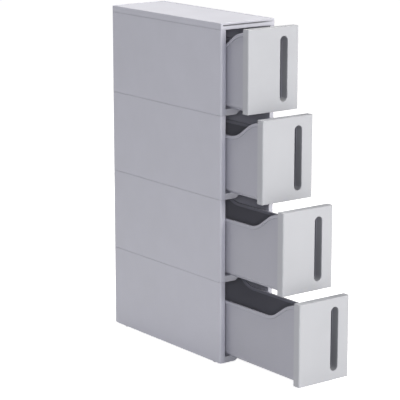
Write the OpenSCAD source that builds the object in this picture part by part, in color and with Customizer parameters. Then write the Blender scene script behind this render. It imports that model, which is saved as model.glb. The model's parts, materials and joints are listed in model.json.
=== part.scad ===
// Slim four-tier drawer tower of light grey plastic, on four small wheels.
// Millimetres. X runs left to right seen from the front, the drawers open
// towards -Y and +Z is up. The floor is z = 0 and the origin lies under the
// middle of the casing. Tier 1 is the lowest and tier 4 the highest.

/* [Casing] */
// Width of the casing
case_w = 153; // [145:1:180]
// Depth of the casing, without the drawer fronts
case_d = 425; // [380:1:480]
// Height of one tier from seam to seam
tier_h = 192; // [185:1:230]
// Wall thickness of the side and back panels
wall = 2.2; // [1.6:0.1:3]
// Radius of the upright outer corners
case_r = 4; // [3:0.5:6]
// Height of the casing's lower edge above the floor
ground_gap = 4; // [3:0.5:6]
// Open line between one tier's panels and the next
seam_gap = 0.4; // [0.2:0.1:0.8]

/* [Posts and back] */
// Width of the front posts beside each opening
post_w = 13.5; // [12.5:0.5:18]
// Depth of the front posts
post_d = 12; // [8:1:16]
// Width of the rear flange on each side panel
flange_w = 6.5; // [5:0.5:10]
// Width of the lips that hold the back panel behind the flanges
lip_w = 12; // [9:1:20]
// Thickness of those lips
lip_t = 1.6; // [1.2:0.1:2.4]

/* [Shelves] */
// Height of each front rail
rail_h = 14.5; // [13:0.5:20]
// Thickness of each front rail
rail_t = 2.4; // [2:0.1:4]
// Thickness of the shelf that a drawer slides on
shelf_t = 2.5; // [2:0.1:4]
// Thickness of the skirt under the shelf's edges
skirt_t = 2; // [1.6:0.1:3]
// Depth to which the skirt reaches into the tier below
tongue = 6; // [4:0.5:10]
// Lower width of the cut-out in the rail's underside
arch_w = 68; // [50:1:90]
// Height of that cut-out
arch_h = 8; // [5:0.5:10]
// Run of the cut-out's sloped ends
arch_run = 12; // [6:1:16]
// Height of the cross ribs under the shelf
rib_h = 4; // [3:0.5:8]
// Thickness of the cross ribs
rib_t = 1.8; // [1.2:0.1:3]

/* [Lid] */
// Height of the lid
lid_h = 15; // [12:0.5:22]
// Thickness of the lid's top
lid_t = 2.5; // [2:0.1:4]
// Rounding of the lid's top edges
lid_r = 1.6; // [0.8:0.1:2]
// Width of the raised rim round the lid's top
lid_rim = 4; // [3:0.5:8]
// Height of that rim
lid_rim_h = 0.8; // [0.5:0.1:1.2]
// Thickness of the bar across the lid's front
lid_bar = 8; // [7:0.5:12]
// Depth of the shadow groove across the bar
groove_depth = 4.6; // [3:0.1:5.5]
// Distance of the groove's upper edge below the lid's top
groove_top = 4.1; // [2.5:0.1:5]
// Height of the groove
groove_h = 3; // [2:0.1:4.5]
// Distance of the groove's left end from the lid's side
groove_left = 5; // [4:0.5:12]
// Distance of the groove's right end from the lid's side
groove_right = 6.5; // [4:0.5:16]
// Length over which the groove runs out to the right
groove_taper = 30; // [5:1:60]

/* [Drawer fronts] */
// Width of a drawer front
front_w = 142; // [134:1:150]
// Depth of a drawer front
front_t = 19.5; // [14:0.5:24]
// Radius of its upright edges
front_r = 4; // [3.5:0.5:9]
// Rounding of its upper and lower edges
front_edge = 1.4; // [0.6:0.1:2]
// Open line between two drawer fronts
front_gap = 5; // [1:0.5:6]
// Overlap of a drawer front over the rail below it
front_lap = 0.5; // [0:0.5:3]
// Wall of the drawer front's shell
front_wall = 2.5; // [2:0.1:3]
// Thickness of the plate that closes its back
liner_t = 2; // [1.5:0.1:3]
// Gap between a closed drawer front and the posts
close_gap = 0.5; // [0.3:0.1:1.5]
// Width of the grip slot
slot_w = 21; // [18:0.5:26]
// Distance of the grip slot's ends from the front's upper and lower edge
slot_end = 20.5; // [12:0.5:45]
// Distance of the slot's middle from the tower's middle
slot_x = 29; // [20:0.5:36]
// Wall of the sleeve round the slot
sleeve_t = 2; // [1.5:0.1:3]

/* [Drawer boxes] */
// Gap between a box's side and the posts
box_gap = 3.5; // [3.3:0.1:5]
// Wall of a box
box_wall = 2.2; // [1.6:0.1:3]
// Floor thickness of a box
box_floor = 2.4; // [1.8:0.1:3.5]
// Rounding along the box's lower edges
box_r = 8; // [5:0.5:12]
// Radius of the box's upright corners
box_corner = 6; // [4:0.5:10]
// Gap over the box's high ends
box_top_gap = 1; // [0.5:0.5:8]
// Gap behind the closed box
box_back_gap = 13; // [8:1:40]
// Height of the rim band
rim_h = 7; // [4:0.5:10]
// How far the rim stands out from the wall
rim_out = 2.8; // [0.6:0.1:3]
// How far the rim stands into the box
rim_in = 0.6; // [0.2:0.1:1]
// Flat length of the rim at each high end
ledge = 5; // [4:0.5:12]
// Length of each curve down to the low middle
curve_run = 106; // [90:1:120]
// Depth of the low middle below the high ends
dip = 42.5; // [25:0.5:60]
// Steepness of the curve's middle, 1 for two arcs with nothing straight between
curve_share = 0.79; // [0.65:0.01:0.95]
// Height of the two runners under the box
runner_h = 5.2; // [2:0.1:7]
// Width of those runners
runner_w = 4; // [3:0.5:8]
// Distance between the runners' middles
runner_gauge = 90; // [70:1:96]
// Gap between runner and shelf
slide_gap = 0.3; // [0.2:0.05:0.5]

/* [Drawer travel] */
// Travel from closed to the stop
travel = 320; // [260:1:330]
// How far the lowest drawer stands open
pull_1 = 253; // [0:0.5:260]
// How far the second drawer stands open
pull_2 = 194.5; // [0:0.5:260]
// How far the third drawer stands open
pull_3 = 122.5; // [0:0.5:260]
// How far the top drawer stands open
pull_4 = 70; // [0:0.5:260]
// Reach of the stop lugs beyond the box's side
lug_reach = 7.5; // [6.5:0.5:9]
// Length of a stop lug
lug_l = 10; // [6:1:16]
// Height of a stop lug
lug_h = 40; // [20:1:60]
// Height of a stop lug's middle above its tier
lug_z = 118; // [90:1:120]

/* [Clips] */
// Diameter of the pegs that hold a drawer front
peg_d = 4; // [3:0.1:5]
// Length of those pegs
peg_l = 11; // [8:0.5:12]
// Diameter of the bosses that take the pegs
boss_d = 9; // [7.5:0.5:11]
// Sideways distance between the pegs
peg_gauge = 104; // [98:1:106]
// Upright distance between the pegs
peg_rise = 130; // [90:1:140]

/* [Wheels] */
// Radius of a wheel
wheel_r = 12; // [10:0.5:13]
// Width of a wheel
wheel_w = 9.6; // [8:0.1:9.8]
// Tread wall of a wheel
tread_t = 1.8; // [1.4:0.1:2.4]
// Diameter of a wheel's hub
hub_d = 9; // [8:0.5:11]
// Thickness of a wheel's web
web_t = 1.6; // [1.2:0.1:2.4]
// Thickness of a wheel's spokes
spoke_t = 1.4; // [1:0.1:2]
// Diameter of an axle
axle_d = 4; // [3:0.1:5]
// Running gap round an axle, on the radius
axle_gap = 0.06; // [0.03:0.01:0.09]
// Gap beside a wheel
wheel_gap = 0.35; // [0.3:0.05:0.6]
// Wall of a wheel's bracket
bracket_t = 1.3; // [1:0.1:1.6]
// Gap round a wheel inside its bracket's ends
bracket_gap = 2; // [1.5:0.1:2.4]
// Distance of the front axles behind the casing's front
axle_front = 29.5; // [29:0.5:60]
// Distance of the rear axles from the casing's back
axle_rear = 41.5; // [30:0.5:80]

/* [Output] */
// Piece to build, or all

/* [Hidden] */
$fn = 64;
// Gap of pieces that sit fitted together
fit = 0.1;
// Overlap that makes a cut run clean through
eps = 0.5;

half_w = case_w / 2;
half_d = case_d / 2;
opening_x = half_w - post_w;
panel_h = tier_h - seam_gap;
function tier_z(n) = ground_gap + (n - 1) * tier_h;
lid_z = tier_z(5);

shelf_x = half_w - wall - fit;
shelf_y0 = -half_d + post_d + fit;
shelf_y1 = half_d - wall - lip_t - fit;
rail_x = opening_x - fit;
plate_z = rail_h - shelf_t;

front_h = tier_h - front_gap;
front_z = rail_h - front_lap;
slot_z = front_z + front_h / 2;
slot_h = front_h - 2 * slot_end;
liner_x = front_w / 2 - front_wall - fit;

box_w = case_w - 2 * (post_w + box_gap);
box_y0 = -half_d - close_gap;
box_l = half_d - wall - box_back_gap - box_y0;
box_z = rail_h + slide_gap + runner_h;
box_top = tier_h - box_top_gap;
curve_a = 2 * curve_share * atan(dip / curve_run);
curve_r = (curve_run * sin(curve_a) - dip * cos(curve_a)) / (2 * (1 - cos(curve_a)));
pulls = [pull_1, pull_2, pull_3, pull_4];
lug_y = -half_d + post_d + travel + slide_gap - box_y0;

bracket_x1 = half_w - wall - fit;
bracket_w = wheel_w + 2 * wheel_gap + 2 * bracket_t;
wheel_x = bracket_x1 - bracket_w / 2;
bracket_l = 2 * (wheel_r + bracket_gap + bracket_t);
bracket_top = ground_gap + rail_h;
axle_ys = [-half_d + axle_front, half_d - axle_rear];

casing_grey = [0.74, 0.74, 0.78];
shelf_grey = [0.70, 0.70, 0.75];
lid_grey = [0.80, 0.80, 0.83];
front_grey = [0.84, 0.85, 0.87];
liner_grey = [0.78, 0.78, 0.81];
box_grey = [0.66, 0.66, 0.71];
wheel_white = [0.95, 0.95, 0.95];
bracket_grey = [0.60, 0.60, 0.64];
axle_steel = [0.72, 0.73, 0.75];

// ---------- outlines ----------

// Rounded rectangle from (x0, y0) to (x1, y1).
module round_rect(x0, y0, x1, y1, r) {
  translate([x0 + r, y0]) square([x1 - x0 - 2 * r, y1 - y0]);
  translate([x0, y0 + r]) square([x1 - x0, y1 - y0 - 2 * r]);
  for (x = [x0 + r, x1 - r])
    for (y = [y0 + r, y1 - r])
      translate([x, y]) circle(r);
}

// Rectangle whose two lower corners are rounded.
module low_round_rect(x0, y0, x1, y1, r) {
  translate([x0 + r, y0]) square([x1 - x0 - 2 * r, y1 - y0]);
  translate([x0, y0 + r]) square([x1 - x0, y1 - y0 - r]);
  for (x = [x0 + r, x1 - r])
    translate([x, y0 + r]) circle(r);
}

// Rectangle from one corner to the other.
module rect(x0, y0, x1, y1) {
  translate([x0, y0]) square([x1 - x0, y1 - y0]);
}

// Block from one corner to the other.
module block(a, b) {
  translate(a) cube(b - a);
}

// Drawing in (y, z), extruded along X from x0 to x1.
module along_x(x0, x1) {
  translate([x0, 0, 0]) rotate([90, 0, 90]) linear_extrude(x1 - x0) children();
}

// Drawing in (x, z), extruded along Y from y0 to y1.
module along_y(y0, y1) {
  translate([0, y1, 0]) rotate([90, 0, 0]) linear_extrude(y1 - y0) children();
}

// Round bar along X from x0 to x1, round the line (y, z).
module bar_x(x0, x1, y, z, d) {
  translate([x0, y, z]) rotate([0, 90, 0]) cylinder(d = d, h = x1 - x0);
}

// Round bar along Y from y0 to y1, round the line (x, z).
module bar_y(y0, y1, x, z, d) {
  translate([x, y1, z]) rotate([90, 0, 0]) cylinder(d = d, h = y1 - y0);
}

// ---------- casing ----------

// Plan of the left side panel: plate, hollow front post and rear flange.
module side_plan() {
  difference() {
    intersection() {
      round_rect(-half_w, -half_d, half_w, half_d, case_r);
      union() {
        rect(-half_w, -half_d, -half_w + post_w, -half_d + post_d);
        rect(-half_w, -half_d, -half_w + flange_w, half_d);
      }
    }
    rect(-half_w + wall, -half_d + wall, -half_w + post_w - wall, half_d - wall);
  }
}

module side_left(n) {
  color(casing_grey) translate([0, 0, tier_z(n)]) linear_extrude(panel_h) side_plan();
}

module side_right(n) {
  mirror([1, 0, 0]) side_left(n);
}

module back(n) {
  x0 = half_w - flange_w - fit;
  x1 = half_w - wall - fit;
  color(casing_grey) translate([0, 0, tier_z(n)]) {
    block([-x0, half_d - wall, 0], [x0, half_d, panel_h]);
    for (s = [-1, 1])
      translate([s * (x1 - lip_w / 2), half_d - wall - lip_t / 2, panel_h / 2])
        cube([lip_w, lip_t, panel_h], center = true);
  }
}

// Front rail with its cut-out, in (x, z).
module rail_outline() {
  difference() {
    rect(-rail_x, 0, rail_x, rail_h);
    polygon([
      [-arch_w / 2, -eps], [-arch_w / 2, 0], [-arch_w / 2 + arch_run, arch_h],
      [arch_w / 2 - arch_run, arch_h], [arch_w / 2, 0], [arch_w / 2, -eps]
    ]);
  }
}

// Skirt round the sides and back of a shelf or of the lid.
module skirt(z0, z1) {
  difference() {
    block([-shelf_x, shelf_y0, z0], [shelf_x, shelf_y1, z1]);
    block([-shelf_x + skirt_t, shelf_y0 - eps, z0 - eps],
          [shelf_x - skirt_t, shelf_y1 - skirt_t, z1 + eps]);
  }
}

module shelf_body(n) {
  block([-shelf_x, shelf_y0, plate_z], [shelf_x, shelf_y1, rail_h]);
  block([-rail_x, -half_d + rail_t / 2, plate_z], [rail_x, shelf_y0 + eps, rail_h]);
  along_y(-half_d, -half_d + rail_t) rail_outline();
  skirt(n == 1 ? 0 : -tongue, plate_z + eps);
  for (i = [1:4])
    translate([0, shelf_y0 + i * (shelf_y1 - shelf_y0) / 5, plate_z - rib_h / 2 + eps / 2])
      cube([2 * shelf_x - skirt_t, rib_t, rib_h + eps], center = true);
}

// Place of each wheel bracket, cut out of the lowest shelf.
module bracket_room() {
  for (s = [-1, 1])
    for (y = axle_ys)
      translate([s * (wheel_x + eps / 2), y, rail_h / 2])
        cube([bracket_w + eps + 2 * fit, bracket_l + 2 * fit, rail_h + 2 * eps], center = true);
}

module shelf(n) {
  color(shelf_grey) translate([0, 0, tier_z(n)])
    difference() {
      shelf_body(n);
      if (n == 1) bracket_room();
    }
}

// Shadow groove across the lid's front, which runs out to the right.
module lid_groove() {
  x0 = -half_w + groove_left;
  x1 = half_w - groove_right;
  y = -half_d + groove_depth;
  translate([0, 0, lid_h - groove_top - groove_h]) linear_extrude(groove_h)
    polygon([[x0, -half_d - eps], [x1, -half_d - eps], [x1, -half_d], [x1 - groove_taper, y], [x0, y]]);
}

module lid() {
  color(lid_grey) translate([0, 0, lid_z]) {
    difference() {
      intersection() {
        linear_extrude(lid_h) round_rect(-half_w, -half_d, half_w, half_d, case_r);
        along_y(-half_d, half_d) mirror([0, 1]) low_round_rect(-half_w, -lid_h, half_w, 0, lid_r);
        along_x(-half_w, half_w) mirror([0, 1]) low_round_rect(-half_d, -lid_h, half_d, 0, lid_r);
      }
      block([-shelf_x + skirt_t, -half_d + lid_bar, -eps],
            [shelf_x - skirt_t, shelf_y1 - skirt_t, lid_h - lid_t - lid_rim_h]);
      block([-half_w + lid_rim, -half_d + lid_rim, lid_h - lid_rim_h],
            [half_w - lid_rim, half_d - lid_rim, lid_h + eps]);
      lid_groove();
    }
    skirt(-tongue, eps);
  }
}

// ---------- drawers ----------

// Where drawer n stands: closed, moved forward by its pull.
module drawer_place(n) {
  translate([0, box_y0 - pulls[n - 1], tier_z(n)]) children();
}

// Side view of a box in (y, z): high ends, curves and a low middle.
module box_profile() {
  low_z = box_top - dip;
  arc_y = curve_r * sin(curve_a);
  arc_z = curve_r * (1 - cos(curve_a));
  y1 = ledge + arc_y;
  y2 = ledge + curve_run - arc_y;
  difference() {
    rect(0, 0, box_l, box_top);
    rect(ledge + curve_run, low_z, box_l - ledge - curve_run, box_top + eps);
    for (side = [0, 1])
      translate([side * box_l, 0]) mirror([side, 0]) {
        difference() {
          rect(ledge, box_top - arc_z, y1, box_top + eps);
          translate([ledge, box_top - curve_r]) circle(curve_r, $fn = 180);
        }
        polygon([[y1, box_top - arc_z], [y2, low_z + arc_z], [y2, box_top + eps], [y1, box_top + eps]]);
        rect(y2, low_z + arc_z, ledge + curve_run + eps, box_top + eps);
        intersection() {
          rect(y2, low_z - eps, ledge + curve_run + eps, low_z + arc_z + eps);
          translate([ledge + curve_run, low_z + curve_r]) circle(curve_r, $fn = 180);
        }
      }
  }
}

// A box's outer or inner form, drawn in by t on every side.
module box_form(t, z0, z1) {
  intersection() {
    translate([0, 0, z0]) linear_extrude(z1 - z0)
      round_rect(-box_w / 2 + t, t, box_w / 2 - t, box_l - t, box_corner - t / 2);
    along_y(-eps, box_l + eps)
      low_round_rect(-box_w / 2 + t, z0, box_w / 2 - t, z1 + box_r, box_r - t / 2);
  }
}

// Rim that stands out a little on both faces of the wall.
module box_rim() {
  t = box_wall + rim_in;
  intersection() {
    linear_extrude(box_top)
      difference() {
        round_rect(-box_w / 2 - rim_out, 0, box_w / 2 + rim_out, box_l + rim_out, box_corner);
        round_rect(-box_w / 2 + t, t, box_w / 2 - t, box_l - t, box_corner - t / 2);
      }
    along_x(-box_w, box_w)
      difference() {
        union() {
          box_profile();
          translate([rim_out + eps, 0]) intersection() {
            box_profile();
            rect(box_l - ledge, 0, box_l, box_top);
          }
        }
        translate([-eps, -rim_h]) rect(0, 0, ledge + 2 * eps, box_top);
        translate([0, -rim_h]) box_profile();
        translate([box_l - ledge, -rim_h]) rect(0, 0, 2 * ledge, box_top);
      }
  }
}

module peg_places() {
  for (x = [-1, 1])
    for (z = [-1, 1])
      translate([x * peg_gauge / 2, 0, slot_z + z * peg_rise / 2]) children();
}

// Grip slot or its sleeve in (x, z), widened by t.
module slot_outline(t) {
  r = slot_w / 2;
  translate([slot_x, slot_z]) {
    rect(-r - t, -slot_h / 2 + r, r + t, slot_h / 2 - r);
    for (s = [-1, 1])
      translate([0, s * (slot_h / 2 - r)]) circle(r + t);
  }
}

module drawer_box(n) {
  color(box_grey) drawer_place(n)
    difference() {
      union() {
        difference() {
          intersection() {
            box_form(0, box_z, box_top);
            along_x(-box_w, box_w) box_profile();
          }
          box_form(box_wall, box_z + box_floor, box_top + eps);
        }
        box_rim();
        for (s = [-1, 1]) {
          block([s * runner_gauge / 2 - runner_w / 2, box_corner, box_z - runner_h],
                [s * runner_gauge / 2 + runner_w / 2, box_l - box_corner, box_z + eps]);
          translate([s * (box_w / 2 + (lug_reach - box_wall / 2) / 2), lug_y + lug_l / 2, lug_z])
            cube([lug_reach + box_wall / 2, lug_l, lug_h], center = true);
        }
        peg_places() bar_y(-peg_l, box_wall / 2, 0, 0, peg_d);
      }
      along_y(-eps, box_wall + rim_in + eps) slot_outline(0);
    }
}

// Plan of a drawer front: the upright front edges are rounded.
module front_plan() {
  low_round_rect(-front_w / 2, -front_t, front_w / 2, 0, front_r);
}

// Side view of a drawer front in (y, z), with its small edge rounding.
module front_side() {
  z1 = front_z + front_h;
  rect(-front_t + front_edge, front_z, 0, z1);
  rect(-front_t, front_z + front_edge, 0, z1 - front_edge);
  for (z = [front_z + front_edge, z1 - front_edge])
    translate([-front_t + front_edge, z]) circle(front_edge);
}

module drawer_front(n) {
  x = front_w / 2 - front_wall;
  color(front_grey) drawer_place(n)
    difference() {
      union() {
        difference() {
          intersection() {
            linear_extrude(tier_h * 2) front_plan();
            along_x(-front_w, front_w) front_side();
          }
          translate([0, 0, front_z + front_wall]) linear_extrude(front_h - 2 * front_wall)
            low_round_rect(-x, -front_t + front_wall, x, eps, front_r - front_wall);
        }
        along_y(-front_t + front_wall / 2, 0) slot_outline(sleeve_t);
        peg_places() bar_y(-front_t + front_wall / 2, -liner_t - fit, 0, 0, boss_d);
      }
      along_y(-front_t - eps, eps) slot_outline(0);
      peg_places() bar_y(-peg_l - 2 * fit, eps, 0, 0, peg_d + 2 * fit);
    }
}

module front_liner(n) {
  color(liner_grey) drawer_place(n)
    difference() {
      block([-liner_x, -liner_t, front_z + front_wall + fit],
            [liner_x, 0, front_z + front_h - front_wall - fit]);
      along_y(-liner_t - eps, eps) slot_outline(sleeve_t + fit);
      peg_places() bar_y(-liner_t - eps, eps, 0, 0, peg_d + 2 * fit);
    }
}

// ---------- wheels ----------

// Right-hand wheel set at the axle's place, mirrored for the left.
module wheel_place(side, i) {
  mirror([side < 0 ? 1 : 0, 0, 0])
    translate([wheel_x, axle_ys[i], wheel_r]) children();
}

module wheel(side, i) {
  w = wheel_w;
  d = 2 * (wheel_r - tread_t);
  color(wheel_white) wheel_place(side, i)
    difference() {
      union() {
        difference() {
          bar_x(-w / 2, w / 2, 0, 0, 2 * wheel_r);
          bar_x(web_t / 2, w / 2 + eps, 0, 0, d);
          bar_x(-w / 2 - eps, -web_t / 2, 0, 0, d);
        }
        bar_x(-w / 2, w / 2, 0, 0, hub_d);
        for (a = [45, 135])
          rotate([a, 0, 0]) cube([w / 2 + web_t, d + tread_t, spoke_t], center = true);
      }
      bar_x(-w, w, 0, 0, axle_d + 2 * axle_gap);
    }
}

module axle(side, i) {
  color(axle_steel) wheel_place(side, i)
    bar_x(-bracket_w / 2, bracket_w / 2, 0, 0, axle_d);
}

// Fork round a wheel, open above and below.
module bracket(side, i) {
  h = bracket_top - ground_gap;
  color(bracket_grey) wheel_place(side, i)
    translate([0, 0, ground_gap - wheel_r])
      difference() {
        translate([0, 0, h / 2]) cube([bracket_w, bracket_l, h], center = true);
        translate([0, 0, h / 2])
          cube([bracket_w - 2 * bracket_t, bracket_l - 2 * bracket_t, h + 2 * eps], center = true);
        bar_x(-bracket_w, bracket_w, 0, wheel_r - ground_gap, axle_d + 2 * axle_gap);
      }
}

// ---------- pieces ----------

lid();
side_left(1);  // side_left_1
side_left(2);  // side_left_2
side_left(3);  // side_left_3
side_left(4);  // side_left_4
side_right(1);  // side_right_1
side_right(2);  // side_right_2
side_right(3);  // side_right_3
side_right(4);  // side_right_4
back(1);  // back_1
back(2);  // back_2
back(3);  // back_3
back(4);  // back_4
shelf(1);  // shelf_1
shelf(2);  // shelf_2
shelf(3);  // shelf_3
shelf(4);  // shelf_4
drawer_box(1);  // drawer_box_1
drawer_box(2);  // drawer_box_2
drawer_box(3);  // drawer_box_3
drawer_box(4);  // drawer_box_4
drawer_front(1);  // drawer_front_1
drawer_front(2);  // drawer_front_2
drawer_front(3);  // drawer_front_3
drawer_front(4);  // drawer_front_4
front_liner(1);  // front_liner_1
front_liner(2);  // front_liner_2
front_liner(3);  // front_liner_3
front_liner(4);  // front_liner_4
bracket(-1, 0);  // bracket_front_left
bracket(1, 0);  // bracket_front_right
bracket(-1, 1);  // bracket_rear_left
bracket(1, 1);  // bracket_rear_right
axle(-1, 0);  // axle_front_left
axle(1, 0);  // axle_front_right
axle(-1, 1);  // axle_rear_left
axle(1, 1);  // axle_rear_right
wheel(-1, 0);  // wheel_front_left
wheel(1, 0);  // wheel_front_right
wheel(-1, 1);  // wheel_rear_left
wheel(1, 1);  // wheel_rear_right
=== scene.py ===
# %% [markdown]
# # A slim drawer tower
# The object is a narrow tower of light grey moulded plastic: four equal tiers, a flat lid, four
# deep drawers with upright grip slots and four small white wheels. CAD has already made every
# piece in its true size. Here the pieces that show get soft moulded edges, a rolled rim and a
# plastic skin, and a camera and lamps are set as in the photograph.

# %% Load the frame and keep its box
import bpy
import bmesh
import json
import math
import numpy as np
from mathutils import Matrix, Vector


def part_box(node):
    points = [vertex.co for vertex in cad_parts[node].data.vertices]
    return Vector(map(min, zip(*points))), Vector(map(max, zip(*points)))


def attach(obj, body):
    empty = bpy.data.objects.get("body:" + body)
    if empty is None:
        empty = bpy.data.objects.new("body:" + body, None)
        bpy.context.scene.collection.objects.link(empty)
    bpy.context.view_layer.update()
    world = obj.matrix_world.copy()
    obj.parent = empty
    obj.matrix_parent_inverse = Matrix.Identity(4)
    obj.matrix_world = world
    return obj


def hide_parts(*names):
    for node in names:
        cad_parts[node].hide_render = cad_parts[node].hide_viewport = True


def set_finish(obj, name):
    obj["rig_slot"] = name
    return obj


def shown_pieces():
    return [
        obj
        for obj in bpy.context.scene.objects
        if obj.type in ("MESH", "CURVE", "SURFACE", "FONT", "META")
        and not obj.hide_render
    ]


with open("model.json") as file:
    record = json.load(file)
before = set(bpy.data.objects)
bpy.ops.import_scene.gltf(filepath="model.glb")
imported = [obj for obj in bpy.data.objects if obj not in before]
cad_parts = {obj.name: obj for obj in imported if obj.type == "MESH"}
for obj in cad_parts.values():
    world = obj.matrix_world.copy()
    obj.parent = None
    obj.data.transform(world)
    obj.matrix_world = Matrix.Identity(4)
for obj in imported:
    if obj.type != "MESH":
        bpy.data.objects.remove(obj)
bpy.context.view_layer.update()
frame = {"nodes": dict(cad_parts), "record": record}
nodes = frame["nodes"]

# %% [markdown]
# ## Sizes
# All sizes below are millimetres. The places of the drawers are not written here: they are read
# from the CAD boxes, so that the dressed pieces always sit on the solids that they stand for.

# %% Sizes of the casing
MM = 0.001
TIERS = (1, 2, 3, 4)
CORNERS = ("front_left", "front_right", "rear_left", "rear_right")
# Radius of small edges, and distances of flat rings inside the edge of a wide end face
SMALL_EDGE, MARGINS = 0.3, (1.0, 3.0)
# Radius that a corner keeps where an outline is drawn in by more than the corner allows
LEAST_R = 0.4
# Casing: width, depth, wall and radius of its upright edges
CASE_W, CASE_D, WALL, CASE_R = 153.0, 425.0, 2.2, 4.0
HALF_W, HALF_D = CASE_W / 2, CASE_D / 2
# Hollow front posts: width and depth
POST_W, POST_D = 13.5, 12.0


def cad_mm(node):
    """Lowest and highest corner of a CAD piece in millimetres."""
    low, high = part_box(node)
    return np.array(low) / MM, np.array(high) / MM


for tier in TIERS:
    low, high = cad_mm(f"drawer_front_{tier}")
    print("drawer", tier, "front at y", round(low[1], 1), "z", round(low[2], 1), "to", round(high[2], 1))

# %% [markdown]
# ## From rings of points to a surface
# A moulded shell is easiest to see as a stack of closed rings: each ring is one outline, drawn in
# or out and lifted. Neighbouring rings are joined by four-sided faces. A stack that ends on its
# first ring is closed like a tyre, and any other stack is closed by one flat face at each end.

# %% Rings become a closed shell
def ring_faces(rings, points, tyre):
    """Rows of four indices: a face between rings j and j + 1 and between points i and i + 1."""
    j = np.arange(rings if tyre else rings - 1)[:, None]
    i = np.arange(points)[None, :]
    after, above = (i + 1) % points, (j + 1) % rings
    corners = (j * points + i, j * points + after, above * points + after, above * points + i)
    return np.stack(corners, -1).reshape(-1, 4)


def six_volumes(polygons):
    """Sum of a . (b x c) over the triangles that fan out from each polygon's first corner a."""
    return (polygons[:, :1] * np.cross(polygons[:, 1:-1], polygons[:, 2:])).sum()


def shell(rings, tyre=False):
    """(vertices, faces) of a stack of closed rings, an array (rings, points, 3).

    The enclosed volume is a sixth of six_volumes. Where it is negative the faces are turned round,
    so that they look outwards.
    """
    rings = np.asarray(rings, float)
    count, points, _ = rings.shape
    verts = rings.reshape(-1, 3)
    quads = ring_faces(count, points, tyre)
    first, last = np.arange(points)[::-1], np.arange((count - 1) * points, count * points)
    ends = [] if tyre else [first.tolist(), last.tolist()]
    volume = six_volumes(verts[quads]) + sum(six_volumes(verts[end][None]) for end in ends)
    faces = quads.tolist() + ends
    if volume < 0:
        faces = [face[::-1] for face in faces]
    return verts, faces


def join(*shells):
    """One (vertices, faces) of several closed shells."""
    starts = np.cumsum([0] + [len(verts) for verts, _ in shells]).tolist()
    faces = [[k + start for k in face] for (_, part), start in zip(shells, starts) for face in part]
    return np.concatenate([verts for verts, _ in shells]), faces


cube = shell([[[x, y, z] for x, y in ((0, 0), (1, 0), (1, 1), (0, 1))] for z in (0, 1)])
print("a cube has", len(cube[1]), "faces and the volume", six_volumes(cube[0][np.array(cube[1])]) / 6)

# %% Meshes become pieces that ride on CAD bodies
SHARP_ANGLE = math.radians(35)


def mesh_of(name, parts):
    """Mesh of (vertices in mm, faces)."""
    mesh = bpy.data.meshes.new(name)
    mesh.from_pydata((np.asarray(parts[0]) * MM).tolist(), [], parts[1])
    return mesh


def put(name, mesh):
    """New object of a mesh, linked to the scene."""
    obj = bpy.data.objects.new(name, mesh)
    bpy.context.scene.collection.objects.link(obj)
    return obj


def smooth(mesh):
    """Smooth faces, with edges past SHARP_ANGLE kept sharp."""
    mesh.polygons.foreach_set("use_smooth", np.ones(len(mesh.polygons), bool))
    mesh.set_sharp_from_angle(angle=SHARP_ANGLE)


def weigh(obj):
    """Flat faces keep flat light beside rounded edges: normals are weighted by face area."""
    light = obj.modifiers.new("flat_light", "WEIGHTED_NORMAL")
    light.mode, light.weight, light.keep_sharp = "FACE_AREA", 50, True


def piece(name, parts, body, slot, stands_for):
    """Smooth object of (vertices in mm, faces) that rides on a body and stands for CAD pieces."""
    mesh = mesh_of(name, parts)
    smooth(mesh)
    obj = put(name, mesh)
    weigh(obj)
    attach(obj, body)
    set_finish(obj, slot)
    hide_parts(*stands_for)
    return obj


print("edges past", round(math.degrees(SHARP_ANGLE)), "degrees stay sharp")

# %% Outlines and rounded ends
def arc(cx, cy, r, a0, a1, count):
    """So many points on a circle arc from angle a0 to a1 in degrees."""
    a = np.radians(np.linspace(a0, a1, count))
    return np.stack([cx + r * np.cos(a), cy + r * np.sin(a)], -1)


def quarter(r, count, start=0):
    """Rows (inset, rise) of a quarter circle, r (1 - sin a) and r (1 - cos a), up to 90 degrees."""
    a = np.radians(np.linspace(start, 90, count))
    return np.stack([r * (1 - np.sin(a)), r * (1 - np.cos(a))], -1)


def rounded(x0, y0, x1, y1, r, corner, side):
    """Closed outline, anticlockwise from the lower left, and its outward normals.

    Each corner is an arc of so many points, and each side is divided into so many equal parts.
    """
    centres = [(x0 + r, y0 + r, 180), (x1 - r, y0 + r, 270), (x1 - r, y1 - r, 0), (x0 + r, y1 - r, 90)]
    points, normals = [], []
    for k, (cx, cy, turn) in enumerate(centres):
        points.append(arc(cx, cy, r, turn, turn + 90, corner))
        normals.append(arc(0, 0, 1, turn, turn + 90, corner))
        next_x, next_y, next_turn = centres[(k + 1) % 4]
        start, end = points[-1][-1], arc(next_x, next_y, r, next_turn, next_turn, 1)[0]
        share = np.linspace(0, 1, side + 1)[1:-1, None]
        points.append(start + (end - start) * share)
        normals.append(np.repeat(normals[-1][-1:], len(share), 0))
    return np.concatenate(points), np.concatenate(normals)


def mitred(points, inset):
    """Closed outline moved inwards: each point moves along the bisector of its two edges."""
    edges = np.roll(points, -1, 0) - points
    outward = np.stack([edges[:, 1], -edges[:, 0]], -1) / np.linalg.norm(edges, axis=1)[:, None]
    before = np.roll(outward, 1, 0)
    mitre = before + outward
    mitre /= (mitre * before).sum(1)[:, None]
    return points - mitre * inset


def lift(xy, z):
    """Outline in x and y at height z, which is one number or one per point."""
    return np.concatenate([xy, np.broadcast_to(np.asarray(z, float), (len(xy),))[:, None]], 1)


def soft_ends(drawn_in, z0, z1, edge, count=4):
    """Rings from z0 to z1 whose ends are rounded: drawn_in(d) is the outline moved inwards by d."""
    turn = quarter(edge, count)
    rings = [lift(drawn_in(inset), z0 + rise) for inset, rise in turn]
    return np.array(rings + [lift(drawn_in(inset), z1 - rise) for inset, rise in turn[::-1]])


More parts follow.
